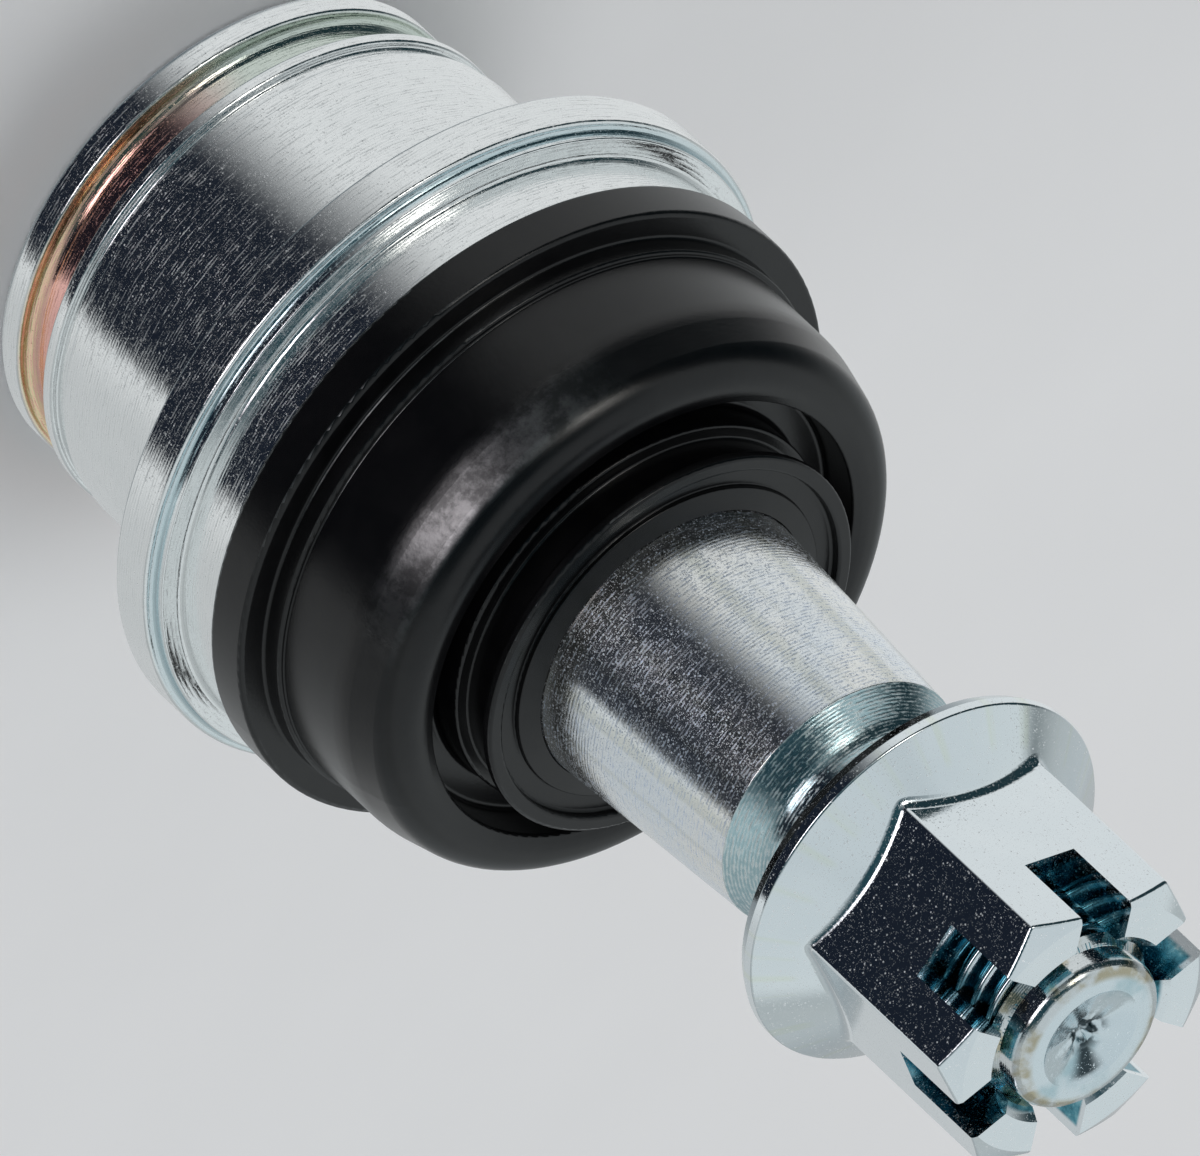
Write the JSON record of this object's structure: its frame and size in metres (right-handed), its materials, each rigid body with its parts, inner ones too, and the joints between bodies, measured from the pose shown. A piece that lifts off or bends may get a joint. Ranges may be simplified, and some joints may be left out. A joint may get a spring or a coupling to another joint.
{
  "type": "suspension ball joint",
  "caption": "Press-in suspension ball joint: flanged barrel housing with retaining-ring groove, rubber dust boot, tapered stud and flanged castle nut.",
  "frame": {"origin": "centre of the ball, on the axis of the press-fit barrel and within its length", "axes": "+Z along the stud at rest, from the closed end to the threaded tip; +X along the cotter-pin hole, through the middle of two of the nut's flats"},
  "size_m": [0.0622, 0.0622, 0.1157],
  "materials": {
    "plated_housing": "bright clear zinc plating over fine turning marks",
    "plated_stud": "bright clear zinc plating, ground taper",
    "plated_nut": "bright clear-blue zinc plating",
    "bearing_iron": "oil-filled sintered iron",
    "spring_steel": "phosphated spring steel",
    "boot_rubber": "satin black moulded rubber"
  },
  "bodies": {
    "housing": {"housing": "plated_housing", "end_cover": "plated_housing", "preload_spring": "spring_steel", "upper_bearing": "bearing_iron", "boot_base_ring": "spring_steel"},
    "pressure_cup": {"pressure_cup": "bearing_iron", "dust_boot": "boot_rubber"},
    "boot_lip": {"boot_lip_ring": "spring_steel"},
    "stud": {"ball_stud": "plated_stud"},
    "nut": {"castle_nut": "plated_nut"}
  },
  "joints": [
    {"name": "ball_azimuth", "type": "hinge", "parent": "housing", "child": "pressure_cup", "pos_m": [0, 0, 0], "axis": [0, 0, 1], "continuous": true},
    {"name": "ball_tilt", "type": "hinge", "parent": "pressure_cup", "child": "boot_lip", "pos_m": [0, 0, 0], "axis": [1, 0, 0], "range_deg": [-22, 22], "deforming": ["dust_boot"]},
    {"name": "stud_spin", "type": "hinge", "parent": "boot_lip", "child": "stud", "pos_m": [0, 0, 0], "axis": [0, 0, 1], "continuous": true},
    {"name": "nut_turn", "type": "hinge", "parent": "stud", "child": "nut", "pos_m": [0, 0, 0.0784], "axis": [0, 0, 1], "continuous": true}
  ]
}
